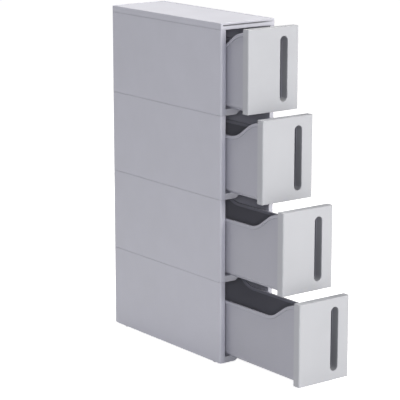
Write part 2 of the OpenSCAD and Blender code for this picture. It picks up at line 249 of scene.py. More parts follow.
def soft_block(low, high, r, edge=0.5, count=4):
    """Block with upright edges of radius r and ends rounded by edge."""
    outline, normal = rounded(low[0], low[1], high[0], high[1], r, 5, 2)
    return shell(soft_ends(lambda inset: outline - normal * inset, low[2], high[2], edge, count))


print("points of a block:", len(soft_block((0, 0, 0), (10, 10, 10), 2)[0]))

# %% [markdown]
# ## Side panels
# Each tier has a left and a right panel that is bent round at the front into a hollow post and at
# the back into a flange. One plan outline, carried upwards, gives the whole piece. Its upper and
# lower edges are rounded by about half a millimetre, so that the seam between two tiers draws the
# fine dark line of the photograph.

# %% Side panels
# Radius of the post's inner edge, width of the rear flange, radius of the upper and lower edges
POST_R, FLANGE_W, PANEL_EDGE = 0.9, 6.5, 0.55


def side_outline():
    """Plan of the left panel: post, long wall and rear flange, with the moulded roundings."""
    w, d = HALF_W, HALF_D
    return np.concatenate([
        arc(-w + POST_W - POST_R, -d + POST_R, POST_R, 0, -90, 5),
        arc(-w + CASE_R, -d + CASE_R, CASE_R, 270, 180, 11),
        arc(-w + CASE_R, d - CASE_R, CASE_R, 180, 90, 11),
        [[-w + FLANGE_W, d], [-w + FLANGE_W, d - WALL], [-w + WALL, d - WALL],
         [-w + WALL, -d + WALL], [-w + POST_W - WALL, -d + WALL], [-w + POST_W - WALL, -d + POST_D],
         [-w + POST_W, -d + POST_D]],
    ])[::-1]


def side_panel(z0, z1, mirrored):
    """The plan carried from z0 to z1, with rounded ends."""
    plan = side_outline()
    rings = soft_ends(lambda inset: mitred(plan, inset), z0, z1, PANEL_EDGE)
    return shell(rings * [-1, 1, 1] if mirrored else rings)


side_pieces = []
for tier in TIERS:
    for side in ("left", "right"):
        node = f"side_{side}_{tier}"
        low, high = cad_mm(node)
        side_pieces.append(piece(f"panel_{side}_{tier}", side_panel(low[2], high[2], side == "right"),
                                 "casing", "casing_plastic", [node]))
print("side panels:", len(side_pieces), "points each:", len(side_pieces[0].data.vertices))

# %% [markdown]
# ## Lid
# The lid is a shallow tray turned over, with a low rim round its top. A shadow groove crosses its
# front and runs out to the right. It is made as rings too: on the front side eight of the rings
# follow the groove's lower lip, its bottom and its upper lip. The skirt that clips into the
# uppermost tier is a U-shaped band below.

# %% Sizes of the lid
# Lid: height, thickness of its top, radius of its upper edge and thickness of its front bar
LID_H, LID_TOP, LID_EDGE, LID_BAR = 15.0, 2.5, 1.0, 8.0
# Rim round the lid's top: width and height
LID_RIM, LID_RIM_H = 4.0, 0.8
# Skirt below the lid: height, thickness, gap to the panels and how far it reaches up into the lid
SKIRT_H, SKIRT_T, SKIRT_GAP, SKIRT_ROOT = 6.0, 2.0, 0.1, 0.6
# Groove across the lid's front: depth, distance from the top, height and radius of its lips
GROOVE_DEPTH, GROOVE_TOP, GROOVE_H, GROOVE_LIP = 4.6, 4.1, 3.0, 0.25
# The groove's ends from the lid's sides, and the lengths over which it begins and runs out
GROOVE_LEFT, GROOVE_RIGHT, GROOVE_BEGIN, GROOVE_TAPER = 5.0, 6.5, 0.2, 30.0
# The groove's bottom is narrower than its mouth by this much above and below
GROOVE_DRAFT = 0.2
# Lip of a back panel, beside which the skirt fits
LIP_T = 1.6
print("groove from", LID_H - GROOVE_TOP - GROOVE_H, "to", LID_H - GROOVE_TOP, "above the lid's lower edge")

# %% Lid
def lid_outline():
    """Rounded plan of the lid, its outward normals and the groove's depth at each point.

    The front side has points where the groove begins, is fully deep, starts to run out and ends.
    """
    corner = 9
    plan, normal = rounded(-HALF_W, -HALF_D, HALF_W, HALF_D, CASE_R, corner, 1)
    left, right = -HALF_W + GROOVE_LEFT, HALF_W - GROOVE_RIGHT
    bends = np.array([left, left + GROOVE_BEGIN, right - GROOVE_TAPER, right])
    front = np.stack([bends, np.full(4, -HALF_D)], -1)
    plan = np.concatenate([plan[:corner], front, plan[corner:]])
    normal = np.concatenate([normal[:corner], np.tile([0.0, -1.0], (4, 1)), normal[corner:]])
    depth = np.zeros(len(plan))
    depth[corner + 1:corner + 3] = GROOVE_DEPTH
    return plan, normal, depth


def lid_rings(z0):
    """Rings from the hollow underside, round the bar and the groove, over the rim to the sunk top."""
    outline, normal, depth = lid_outline()
    tight = CASE_R - LEAST_R

    def ring(inset, z):
        """Outline drawn in by one number, or by one per point."""
        return lift(outline - normal * np.reshape(inset, (-1, 1)), z0 + z)

    def tray(at_front, at_side, at_back, z):
        """Ring drawn in by more than the lid's corner radius: its corners keep the least one."""
        near = outline - normal * tight
        x = near[:, 0] * (HALF_W - at_side) / (HALF_W - tight)
        y = -HALF_D + at_front + (near[:, 1] / (HALF_D - tight) + 1) * (HALF_D - (at_front + at_back) / 2)
        return lift(np.stack([x, y], -1), z0 + z)

    inside = np.array([LID_BAR, WALL + SKIRT_GAP + SKIRT_T, WALL + LIP_T + SKIRT_GAP + SKIRT_T])
    ceiling = LID_H - LID_RIM_H - LID_TOP
    rings = [tray(*inside + margin, ceiling) for margin in MARGINS[::-1]]
    rings += [tray(*inside, ceiling), tray(*inside, SMALL_EDGE), tray(*inside - SMALL_EDGE, 0)]
    rings += [ring(inset, rise) for inset, rise in quarter(SMALL_EDGE, 3)]

    upper = LID_H - GROOVE_TOP
    lower = upper - GROOVE_H
    lip = [(inset / GROOVE_LIP * np.minimum(depth, GROOVE_LIP), rise)
           for inset, rise in quarter(GROOVE_LIP, 3)]
    rings += [ring(inset, lower - rise) for inset, rise in lip[::-1]]
    rings += [ring(depth, lower + GROOVE_DRAFT), ring(depth, upper - GROOVE_DRAFT)]
    rings += [ring(inset, upper + rise) for inset, rise in lip]

    rings += [ring(inset, LID_H - drop) for drop, inset in quarter(LID_EDGE, 6)]
    turn = quarter(LID_RIM_H / 2, 3)
    slope = [(-inset, -drop) for inset, drop in turn]
    slope += [(inset, drop - LID_RIM_H) for drop, inset in turn[1:]]
    for further, z in slope + [(MARGINS[1], -LID_RIM_H)]:
        rings.append(tray(*[LID_RIM + further] * 3, LID_H + z))
    return np.array(rings)


def lid_skirt(z0):
    """U-shaped band at the lid's sides and back, from its lower edge up into the tray."""
    x, y0, y1 = HALF_W - WALL - SKIRT_GAP, -HALF_D + POST_D + SKIRT_GAP, HALF_D - WALL - LIP_T - SKIRT_GAP
    inner_x, inner_y = x - SKIRT_T, y1 - SKIRT_T
    plan = np.array([[x, y0], [x, y1], [-x, y1], [-x, y0],
                     [-inner_x, y0], [-inner_x, inner_y], [inner_x, inner_y], [inner_x, y0]])
    rings = [lift(mitred(plan, inset), z0 - SKIRT_H + rise) for inset, rise in quarter(SMALL_EDGE, 3)]
    return shell(rings + [lift(plan, z0 + SKIRT_ROOT)])


lid_top = cad_mm("lid")[1][2]
lid_z = lid_top - LID_H
lid_parts = join(shell(lid_rings(lid_z)), lid_skirt(lid_z))
lid = piece("lid_shell", lid_parts, "casing", "casing_plastic", ["lid"])
print("lid top at", round(lid_top, 1), "faces:", len(lid.data.polygons))

# %% [markdown]
# ## Drawer fronts
# A drawer front is a cap with rounded upright edges and a slot through it. Around the slot's
# middle every direction meets the slot once and the cap's edge once, so both outlines can be
# given by the same angles, and the rings between them never cross. The stack of rings runs over
# the front, through the slot and back inside the hollow cap to where it began.

# %% Outlines of a drawer front
# Drawer front: wall, radius of its upright edges and of its upper and lower edges
FRONT_WALL, FRONT_R, FRONT_EDGE = 2.5, 4.0, 1.4
# Grip slot: width, height, place right of the middle, wall of its sleeve and radius of its lip
SLOT_W, SLOT_H, SLOT_X, SLEEVE, SLOT_LIP = 21.0, 146.0, 29.0, 2.0, 1.3
# Half the length of the slot's straight sides
SLOT_HALF = (SLOT_H - SLOT_W) / 2
# Depth at which the slot's painted shade is full, and how far past the slot's edge a point still counts
SLOT_SHADE_DEPTH, SLOT_SHADE_PAST = 5.0, 0.2
# Stand-ins for nothing and for endless, where a direction is parallel to an edge
TINY, FAR = 1e-9, 1e9
# Least angle between two directions in radians
LEAST_TURN = 0.002


def stadium(x, z):
    """Outline of the grip slot round a middle: two half circles, joined by straight sides."""
    r = SLOT_W / 2
    return np.concatenate([arc(x, z + SLOT_HALF, r, 0, 180, 25), arc(x, z - SLOT_HALF, r, 180, 360, 25)])


def slot_reach(angle, r):
    """Distance from the slot's middle to its edge, for a slot with end circles of radius r.

    On the straight sides it is r / |cos|, and elsewhere the far root of the end circle.
    """
    c, s = np.abs(np.cos(angle)), np.abs(np.sin(angle))
    straight = r / np.maximum(c, TINY)
    under = np.maximum(r * r - (SLOT_HALF * c) ** 2, 0)
    return np.where(straight * s <= SLOT_HALF, straight, SLOT_HALF * s + np.sqrt(under))


def front_angles(w, h):
    """Rising angles, seen from the slot's middle, of points spread along both outlines."""
    t = np.linspace(-1, 1, 25)
    spread = [stadium(0, 0)]
    for s in (-1, 1):
        spread += [np.stack([t * w / 2 - SLOT_X, 0 * t + s * h / 2], -1),
                   np.stack([0 * t + s * w / 2 - SLOT_X, t * h / 2], -1),
                   np.stack([0 * t + s * SLOT_W / 2, t * SLOT_HALF], -1)]
    x, y = np.concatenate(spread).T
    angle = np.sort(np.mod(np.arctan2(y, x), 2 * np.pi))
    return angle[np.concatenate([[True], np.diff(angle) > LEAST_TURN])]


def edge_reach(angle, w, h):
    """Distance from the slot's middle to the rectangular edge of the front."""
    c, s = np.cos(angle), np.sin(angle)
    return np.minimum.reduce([
        np.where(c > TINY, (w / 2 - SLOT_X) / np.maximum(c, TINY), FAR),
        np.where(c < -TINY, (w / 2 + SLOT_X) / np.maximum(-c, TINY), FAR),
        (h / 2) / np.maximum(np.abs(s), TINY)])


low, high = cad_mm("drawer_front_1")
print("directions from the slot's middle:", len(front_angles(high[0] - low[0], high[2] - low[2])))

# %% Drawer fronts
def front_rings(low, high):
    """Rings of a drawer front between two corners in mm."""
    w, t, h = high - low
    middle_z = (low[2] + high[2]) / 2
    angle = front_angles(w, h)
    c, s = np.cos(angle), np.sin(angle)
    far = edge_reach(angle, w, h)

    def outer(inset_x, inset_z, y):
        """The front's edge, drawn in, at depth y."""
        x, z = (SLOT_X + far * c) * (1 - 2 * inset_x / w), far * s * (1 - 2 * inset_z / h)
        return np.stack([x, np.full(len(x), low[1] + y), z + middle_z], -1)

    def hole(out, y):
        """The slot's edge, drawn out, at depth y."""
        r = slot_reach(angle, SLOT_W / 2 + out)
        return np.stack([SLOT_X + r * c, np.full(len(r), low[1] + y), r * s + middle_z], -1)

    big = FRONT_R * (1 - np.sin(np.radians(np.linspace(0, 60, 8))))
    depths = np.unique(np.round(np.concatenate([big, quarter(FRONT_EDGE, 7)[:, 0]]), 4))[::-1]
    back, wall = t - SMALL_EDGE, FRONT_WALL
    rings = [outer(SMALL_EDGE, SMALL_EDGE, t), outer(0, 0, back)]
    for depth in depths:
        inset_x = FRONT_R - math.sqrt(FRONT_R ** 2 - (FRONT_R - depth) ** 2)
        inset_z = FRONT_EDGE - math.sqrt(FRONT_EDGE ** 2 - max(FRONT_EDGE - depth, 0) ** 2)
        rings.append(outer(inset_x, inset_z, depth))
    rings += [hole(inset, rise) for inset, rise in quarter(SLOT_LIP, 6)]
    rings += [hole(0, SLOT_SHADE_DEPTH + SMALL_EDGE), hole(0, back), hole(SMALL_EDGE, t),
              hole(SLEEVE - SMALL_EDGE, t), hole(SLEEVE, back), hole(SLEEVE, wall)]
    rings += [outer(wall + 1, wall, wall), outer(wall, wall, wall + 1), outer(wall, wall, back),
              outer(wall - SMALL_EDGE, wall - SMALL_EDGE, t)]
    return np.array(rings)


def mark_recess(cap, low, high):
    """Attribute "recess" that sets the slot's painted shade: 0 outside, and inside the grip slot it grows
    to 1 at the depth where the painted shade is full.
    """
    places = np.zeros(3 * len(cap.data.vertices))
    cap.data.vertices.foreach_get("co", places)
    x, y, z = places.reshape(-1, 3).T / MM
    dx, dz = x - SLOT_X, z - (low[2] + high[2]) / 2
    inside = np.hypot(dx, dz) < slot_reach(np.arctan2(dz, dx), SLOT_W / 2) + SLOT_SHADE_PAST
    mark = cap.data.attributes.new("recess", "FLOAT", "POINT")
    mark.data.foreach_set("value", inside * np.clip((y - low[1]) / SLOT_SHADE_DEPTH, 0, 1))


for tier in TIERS:
    low, high = cad_mm(f"drawer_front_{tier}")
    cap = piece(f"front_cap_{tier}", shell(front_rings(low, high), tyre=True), f"drawer_{tier}",
                "front_plastic", [f"drawer_front_{tier}"])
    mark_recess(cap, low, high)
print("drawer fronts: faces each", len(cap.data.polygons))

# %% [markdown]
# ## Drawer boxes
# The side of a box runs high at both ends and low in the middle, with two equal arcs and a
# straight slope between. The rim follows that line: a band that stands out from the wall, with
# rounded edges and a shadow line beneath that painted shade in the fold deepens. Each ring here
# goes once round the box, and its height on the wall depends on how far back the point lies.

# %% Sizes of a drawer box
# Box: gap to the post, wall, floor, radius along the floor and radius of its upright edges
BOX_GAP, BOX_WALL, BOX_FLOOR, BOX_R, BOX_CORNER = 3.5, 2.2, 2.4, 8.0, 6.0
# Rim band: height, how far it stands out and in, and the radius of its upper edges
RIM_H, RIM_OUT, RIM_IN, RIM_EDGE = 7.0, 2.8, 0.6, 1.1
# Below the band: radius of its fold and of its lower edge, and height of wall that the painted fold shade
# reaches
RIM_FOLD, RIM_NOSE, FOLD_H = 0.6, 0.4, 2.8
# Rim line: level stretch at each end, length and depth of the fall, and its share of steepness
LEDGE, CURVE_RUN, DIP, CURVE_SHARE = 5.0, 106.0, 42.5, 0.79
# Runners under the box: distance apart, width, height, radius and root in the floor
RUNNER_GAUGE, RUNNER_W, RUNNER_H, RUNNER_R, RUNNER_ROOT = 90.0, 4.0, 5.2, 1.2, 1.0
# Pegs that hold the front: distances apart, radius and rounding of the tip
PEG_GAUGE, PEG_RISE, PEG_R, PEG_TIP = 104.0, 130.0, 2.0, 0.6
# Stop lugs: height, length, place above the tier's foot and radius
LUG_H, LUG_L, LUG_RISE, LUG_R = 40.0, 10.0, 118.0, 1.0
# A drawer's travel, the gap left at its stop and the gap behind its closed front
TRAVEL, SLIDE_GAP, CLOSE_GAP = 320.0, 0.3, 0.5
# How far the tool that cuts the slot reaches past the wall
CUT_PAST = 5.0
print("a box is", CASE_W - 2 * (POST_W + BOX_GAP), "mm wide without its rim")

# %% The tub of a drawer box
def rim_height(y, length, top):
    """Top of the wall at distance y behind the box's front.

    The slope's angle a is CURVE_SHARE of the steepest one, 2 atan(dip / run), and the radius of
    both arcs is (run sin a - dip cos a) / (2 (1 - cos a)).
    """
    a = 2 * CURVE_SHARE * math.atan(DIP / CURVE_RUN)
    radius = (CURVE_RUN * math.sin(a) - DIP * math.cos(a)) / (2 * (1 - math.cos(a)))
    along = np.clip(np.minimum(y, length - y) - LEDGE, 0, CURVE_RUN)
    from_end = np.minimum(along, CURVE_RUN - along)
    on_arc = np.minimum(from_end, radius * math.sin(a))
    drop = radius - np.sqrt(radius ** 2 - on_arc ** 2) + (from_end - on_arc) * math.tan(a)
    return np.where(along <= CURVE_RUN / 2, top - drop, top - DIP + drop)


def box_outline(width, length):
    """Rounded plan of the box and its normals. The long sides are divided finely at the curves."""
    r, corner, fine = BOX_CORNER, 9, 46
    x0, x1, y1 = -width / 2 + r, width / 2 - r, length - r
    curve = LEDGE + CURVE_RUN + 2
    x = np.linspace(x0, x1, 13)[1:-1]
    y = np.concatenate([np.linspace(r, curve, fine), np.linspace(curve, length - curve, 9)[1:-1],
                        np.linspace(length - curve, y1, fine)])[1:-1]
    front, right = np.stack([x, 0 * x], -1), np.stack([0 * y + width / 2, y], -1)
    stretches = [(x0, r, 180, front, (0, -1)), (x1, r, 270, right, (1, 0)),
                 (x1, y1, 0, front[::-1] + [0, length], (0, 1)),
                 (x0, y1, 90, right[::-1] * [-1, 1], (-1, 0))]
    points, normals = [], []
    for cx, cy, turn, side, way in stretches:
        points += [arc(cx, cy, r, turn, turn + 90, corner), side]
        normals += [arc(0, 0, 1, turn, turn + 90, corner), np.repeat([way], len(side), 0)]
    return np.concatenate(points), np.concatenate(normals)


def box_rings(width, length, bottom, top):
    """Rings from the middle of the underside, up the wall, over the rim and down to the inner floor."""
    outline, normal = box_outline(width, length)
    rim = rim_height(outline[:, 1], length, top)
    band = rim - RIM_H
    tight = BOX_CORNER - LEAST_R
    middle = np.array([0, length / 2])
    half = np.array([width / 2, length / 2]) - tight

    def ring(out, z):
        """Outline drawn out; drawn in by more than the corners allow, it shrinks as a whole."""
        out = np.reshape(out, (-1, 1))
        near = outline + normal * np.maximum(out, -tight)
        return lift(middle + (near - middle) * (1 - np.maximum(-out - tight, 0) / half), z)

    rings = [ring(-BOX_R - margin, bottom) for margin in MARGINS[::-1]] + [ring(-BOX_R, bottom)]
    rings += [ring(-inset, bottom + rise) for inset, rise in quarter(BOX_R, 8, 12)]

    proud = RIM_OUT * np.maximum(np.abs(normal[:, 0]), np.clip(normal[:, 1], 0, 1))
    fold = arc(RIM_FOLD, -RIM_FOLD, RIM_FOLD, 180, 90, 3)
    nose = arc(RIM_OUT - RIM_NOSE, RIM_NOSE, RIM_NOSE, 270, 360, 3)
    rings.append(ring(0, band - FOLD_H))
    rings += [ring(out / RIM_OUT * proud, band + z) for out, z in np.concatenate([fold, nose])]

    inner, turn = -BOX_WALL - RIM_IN, quarter(RIM_EDGE, 6)
    rings += [ring(proud - inset, rim - drop) for drop, inset in turn]
    rings += [ring(inner + inset, rim - drop) for drop, inset in turn[::-1]]
    under = arc(SMALL_EDGE, SMALL_EDGE, SMALL_EDGE, 180, 270, 3)
    rings += [ring(inner + inset, band + rise) for inset, rise in under]
    rings.append(ring(-BOX_WALL, band - SMALL_EDGE))

    floor = bottom + BOX_FLOOR
    rings += [ring(-BOX_WALL - inset, floor + rise) for inset, rise in quarter(BOX_R - BOX_WALL, 8)[::-1]]
    rings += [ring(-BOX_R - margin, floor) for margin in MARGINS]
    return np.array(rings)


print("rim falls by", DIP, "mm over", CURVE_RUN, "mm, half way by",
      round(float(-rim_height(np.array(LEDGE + CURVE_RUN / 2), 2 * CURVE_RUN + 4 * LEDGE, 0.0)), 2))

# %% Drawer boxes with their slots, runners, lugs and pegs
def cut(obj, cutter_parts):
    """obj's mesh less a closed shell, kept as plain mesh."""
    cutter = put("cutter", mesh_of("cutter", cutter_parts))
    tool = obj.modifiers.new("cut", "BOOLEAN")
    tool.operation, tool.solver, tool.object = "DIFFERENCE", "EXACT", cutter
    bpy.context.view_layer.update()
    result = bpy.data.meshes.new_from_object(obj.evaluated_get(bpy.context.evaluated_depsgraph_get()))
    obj.modifiers.remove(tool)
    old, obj.data = obj.data, result
    bpy.data.meshes.remove(old)
    bpy.data.objects.remove(cutter)


def add_shells(obj, parts):
    """Closed shells, (vertices in mm, faces), added to an object's mesh."""
    verts, faces = parts
    grown = bmesh.new()
    grown.from_mesh(obj.data)
    fresh = [grown.verts.new(place) for place in verts * MM]
    for face in faces:
        grown.faces.new([fresh[k] for k in face])
    grown.to_mesh(obj.data)
    grown.free()


def slot_cutter(y0, y1, middle_z):
    """Closed stadium through the box's front wall."""
    x, z = stadium(SLOT_X, middle_z).T
    return shell([np.stack([x, np.full(len(x), y), z], -1) for y in (y0, y1)])


def peg(x, z, y0, y1):
    """Round peg along y, with its rounded tip at y0 and its root at y1."""
    turn = np.linspace(0, 2 * np.pi, 20, endpoint=False)
    rows = np.concatenate([[[0, y1 - y0]], quarter(PEG_TIP, 4)[::-1]])
    return shell([np.stack([x + (PEG_R - inset) * np.cos(turn), np.full(20, y0 + rise),
                            z + (PEG_R - inset) * np.sin(turn)], -1) for inset, rise in rows])


def drawer_box(tier):
    """Box of one tier, read from the CAD boxes: a tub with the slot cut through its front wall."""
    box_low, box_high = cad_mm(f"drawer_box_{tier}")
    cap_low, cap_high = cad_mm(f"drawer_front_{tier}")
    y0, slot_z = cap_high[1], (cap_low[2] + cap_high[2]) / 2
    width, length = CASE_W - 2 * (POST_W + BOX_GAP), box_high[1] - RIM_OUT - y0
    bottom = box_low[2] + RUNNER_H
    tub = box_rings(width, length, bottom, box_high[2]) + [0, y0, 0]
    obj = piece(f"box_{tier}", shell(tub), f"drawer_{tier}", "box_plastic", [f"drawer_box_{tier}"])
    cut(obj, slot_cutter(y0 - CUT_PAST, y0 + BOX_WALL + RIM_IN + CUT_PAST, slot_z))

    root = BOX_WALL / 2
    lug_y = y0 + POST_D + TRAVEL + SLIDE_GAP + CLOSE_GAP
    lug_z = cad_mm(f"side_left_{tier}")[0][2] + LUG_RISE
    extras = []
    for s in (-1, 1):
        runner_x = s * RUNNER_GAUGE / 2
        extras.append(soft_block((runner_x - RUNNER_W / 2, y0 + BOX_CORNER, box_low[2]),
                                 (runner_x + RUNNER_W / 2, y0 + length - BOX_CORNER, bottom + RUNNER_ROOT),
                                 RUNNER_R))
        lug_x = sorted((s * (width / 2 - root), s * box_high[0]))
        extras.append(soft_block((lug_x[0], lug_y, lug_z - LUG_H / 2),
                                 (lug_x[1], lug_y + LUG_L, lug_z + LUG_H / 2), LUG_R))
        extras += [peg(s * PEG_GAUGE / 2, slot_z + v * PEG_RISE / 2, box_low[1], y0 + root)
                   for v in (-1, 1)]
    add_shells(obj, join(*extras))
    smooth(obj.data)
    return obj


for tier in TIERS:
    print("box", tier, "faces", len(drawer_box(tier).data.polygons))

# %% [markdown]
# ## Wheels
# The wheel is a white moulding: a smooth tread, a web in its middle, a round hub that stands a
# little proud of the web and ribs that cross between hub and tread. A profile turned round the
# axle gives everything but the ribs.

# %% Wheels
# Radius of hub and bore, thickness of the tread and half the web's thickness
HUB_R, BORE_R, TREAD_T, WEB_HALF = 4.5, 2.06, 1.8, 0.8
# Roundings: edge of the hub, foot of hub and tread on the web, outer edge of the tread
HUB_EDGE, WEB_FILLET, TREAD_EDGE = 0.6, 0.5, 1.1
# Ribs: thickness, share of the wheel's width, angles, radius of their long edges and end rounding
SPOKE_T, SPOKE_SHARE, SPOKE_ANGLES = 1.4, 0.72, (45, 135, 225, 315)
SPOKE_R, SPOKE_EDGE = 0.4, 0.15


def wheel_rings(centre, w, r):
    """The profile (radius, x) turned round the x axis, from the bore over one side and back."""
    half, tread, e = w / 2, r - TREAD_T, SMALL_EDGE
    side = np.concatenate([
        arc(BORE_R + e, half - e, e, 180, 90, 2),
        arc(HUB_R - HUB_EDGE, half - HUB_EDGE, HUB_EDGE, 90, 0, 3),
        arc(HUB_R + WEB_FILLET, WEB_HALF + WEB_FILLET, WEB_FILLET, 180, 270, 3),
        arc(tread - WEB_FILLET, WEB_HALF + WEB_FILLET, WEB_FILLET, 270, 360, 3),
        arc(tread + e, half - e, e, 180, 90, 2),
        arc(r - TREAD_EDGE, half - TREAD_EDGE, TREAD_EDGE, 90, 0, 5)])
    profile = np.concatenate([side, side[::-1] * [1, -1]])
    turn = np.linspace(0, 2 * np.pi, 72, endpoint=False)[None, :]
    radius, x = profile[:, :1], profile[:, 1:]
    return np.stack([x + 0 * turn, radius * np.cos(turn), radius * np.sin(turn)], -1) + centre


def spoke(centre, w, angle, r0, r1):
    """Rib from hub to tread across the wheel, turned by angle round the axle."""
    verts, faces = soft_block((-w / 2, -SPOKE_T / 2, r0), (w / 2, SPOKE_T / 2, r1),
                              SPOKE_R, SPOKE_EDGE, 3)
    c, s = math.cos(angle), math.sin(angle)
    return verts @ np.array([[1, 0, 0], [0, c, -s], [0, s, c]]) + centre, faces


for corner in CORNERS:
    low, high = cad_mm(f"wheel_{corner}")
    centre, w, r = (low + high) / 2, high[0] - low[0], (high[2] - low[2]) / 2
    parts = [shell(wheel_rings(centre, w, r), tyre=True)]
    ends = HUB_R - SMALL_EDGE, r - TREAD_T + SMALL_EDGE
    parts += [spoke(centre, w * SPOKE_SHARE, math.radians(a), *ends) for a in SPOKE_ANGLES]
    wheel = piece(f"roller_{corner}", join(*parts), f"wheel_{corner}", "wheel_plastic", [f"wheel_{corner}"])
print("wheels: faces each", len(wheel.data.polygons), "radius", round(r, 2))

# %% [markdown]
# ## Shelves, backs, liners and brackets
# These pieces hide inside or behind, and their CAD shapes are right. A moulded edge is never
# perfectly sharp, so a merged copy of each CAD mesh gets a small bevel and takes its place.

# %% Soft copies of CAD pieces
# Bevel of the shelves and backs, and of the liners and brackets
SOFT_LARGE, SOFT_SMALL = 0.35, 0.2


def soften(node, body, slot, width):
    """Merged copy of a CAD piece with its flat faces joined and its edges bevelled by width in mm."""
    name = f"soft_{node}"
    mesh = nodes[node].data.copy()
    mesh.name = name
    merged = bmesh.new()
    merged.from_mesh(mesh)
    bmesh.ops.remove_doubles(merged, verts=merged.verts, dist=1e-6)
    bmesh.ops.dissolve_limit(merged, angle_limit=math.radians(1), verts=merged.verts, edges=merged.edges)
    merged.to_mesh(mesh)
    merged.free()
    mesh.materials.clear()
    mesh.polygons.foreach_set("use_smooth", np.ones(len(mesh.polygons), bool))
    obj = put(name, mesh)
    edge = obj.modifiers.new("soft_edges", "BEVEL")
    edge.width, edge.segments = width * MM, 2
    edge.limit_method, edge.angle_limit = "ANGLE", SHARP_ANGLE
    edge.use_clamp_overlap, edge.harden_normals = True, False
    weigh(obj)
    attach(obj, body)
    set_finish(obj, slot)
    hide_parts(node)
    return obj


soft_pieces = []
for tier in TIERS:
    soft_pieces.append(soften(f"shelf_{tier}", "casing", "shelf_plastic", SOFT_LARGE))
    soft_pieces.append(soften(f"back_{tier}", "casing", "casing_plastic", SOFT_LARGE))
    soft_pieces.append(soften(f"front_liner_{tier}", f"drawer_{tier}", "liner_plastic", SOFT_SMALL))
for corner in CORNERS:
    soft_pieces.append(soften(f"bracket_{corner}", "casing", "bracket_plastic", SOFT_SMALL))
print("softened CAD pieces:", len(soft_pieces))

# %% [markdown]
# ## Plastic
# The photographed plastic is a pale grey with a trace of violet, satin, with the very fine grain
# that a spark-eroded mould leaves. Two effects are shared by all the plastics, so each is a node
# group: the mould grain with its slight cloudiness, and the edges, a touch paler, which is a painted
# highlight, and a touch smoother, as where a hand or a cloth has rubbed. The second group can also
# darken folds with painted shade, which the boxes and the lid use.

# %% Short forms for shader nodes
def node(tree, kind, **values):
    """New node with its plain properties set."""
    made = tree.nodes.new(kind)
    for key, value in values.items():
        setattr(made, key, value)
    return made


def feed(tree, socket, value):
    """A plain value or another node's output goes into an input socket."""
    if isinstance(value, bpy.types.NodeSocket):
        tree.links.new(value, socket)
    else:
        socket.default_value = value


def group(name, inputs, outputs):
    """Empty shader node group with named sockets: (name, type, default) in, (name, type) out."""
    tree = bpy.data.node_groups.new(name, "ShaderNodeTree")
    for label, kind, value in inputs:
        tree.interface.new_socket(name=label, in_out="INPUT", socket_type=kind).default_value = value
    for label, kind in outputs:
        tree.interface.new_socket(name=label, in_out="OUTPUT", socket_type=kind)
    given, result = tree.nodes.new("NodeGroupInput"), tree.nodes.new("NodeGroupOutput")
    return tree, given.outputs, result.inputs


def maths(tree, operation, a, b):
    """Math node of two numbers or sockets."""
    made = node(tree, "ShaderNodeMath", operation=operation)
    feed(tree, made.inputs[0], a)
    feed(tree, made.inputs[1], b)
    return made.outputs[0]


def remap(tree, value, low, high, to_low, to_high):
    """Map Range node, clamped."""
    made = node(tree, "ShaderNodeMapRange")
    for key, given in (("Value", value), ("From Min", low), ("From Max", high), ("To Min", to_low),
                       ("To Max", to_high)):
        feed(tree, made.inputs[key], given)
    return made.outputs["Result"]


def noise(tree, where, cells, detail, rough):
    """Noise texture of so many cells a metre."""
    made = node(tree, "ShaderNodeTexNoise")
    for key, given in (("Vector", where), ("Scale", cells), ("Detail", detail), ("Roughness", rough)):
        feed(tree, made.inputs[key], given)
    return made.outputs["Fac"]


def mix_colour(tree, share, a, b):
    """Colour mix from a to b."""
    made = node(tree, "ShaderNodeMix", data_type="RGBA")
    for k, given in ((0, share), (6, a), (7, b)):
        feed(tree, made.inputs[k], given)
    return made.outputs[2]


def scale_colour(tree, colour, factor):
    """Colour times a number."""
    made = node(tree, "ShaderNodeVectorMath", operation="SCALE")
    feed(tree, made.inputs[0], colour)
    feed(tree, made.inputs["Scale"], factor)
    return made.outputs[0]


def object_place(tree):
    """The point's place in the object's own coordinates."""
    return node(tree, "ShaderNodeTexCoord").outputs["Object"]


print("shader short forms ready")

# %% Node groups: mould grain and handled edges
# The second colour is the dark tone of the shade painted into folds.
PALE_GREY, FOLD_SHADE = (0.6, 0.6, 0.64, 1), (0.06, 0.06, 0.065, 1)


def mould_grain():
    """Fine grain height, slow cloudiness of the colour and a matching change of the gloss."""
    tree, given, result = group(
        "mould_grain",
        [("Color", "NodeSocketColor", PALE_GREY), ("Gloss", "NodeSocketFloat", 0.45),
         ("Grain Cells", "NodeSocketFloat", 1400.0), ("Cloud", "NodeSocketFloat", 0.03)],
        [("Color", "NodeSocketColor"), ("Roughness", "NodeSocketFloat"), ("Height", "NodeSocketFloat")])
    where = object_place(tree)
    fine = noise(tree, where, given["Grain Cells"], 3.0, 0.6)
    slow = noise(tree, where, 9.0, 3.0, 0.55)
    wavy = noise(tree, where, 22.0, 1.0, 0.4)
    dark = maths(tree, "SUBTRACT", 1.0, given["Cloud"])
    light = maths(tree, "ADD", 1.0, given["Cloud"])
    tone = remap(tree, slow, 0.3, 0.7, dark, light)
    flecks = remap(tree, fine, 0.35, 0.65, 0.985, 1.015)
    colour = scale_colour(tree, given["Color"], maths(tree, "MULTIPLY", tone, flecks))
    tree.links.new(colour, result["Color"])
    rough = maths(tree, "ADD", given["Gloss"], remap(tree, slow, 0.3, 0.7, -0.04, 0.05))
    rough = maths(tree, "ADD", rough, remap(tree, fine, 0.3, 0.7, -0.03, 0.03))
    tree.links.new(rough, result["Roughness"])
    height = maths(tree, "ADD", maths(tree, "MULTIPLY", fine, 0.012), maths(tree, "MULTIPLY", wavy, 0.10))
    tree.links.new(height, result["Height"])
    return tree


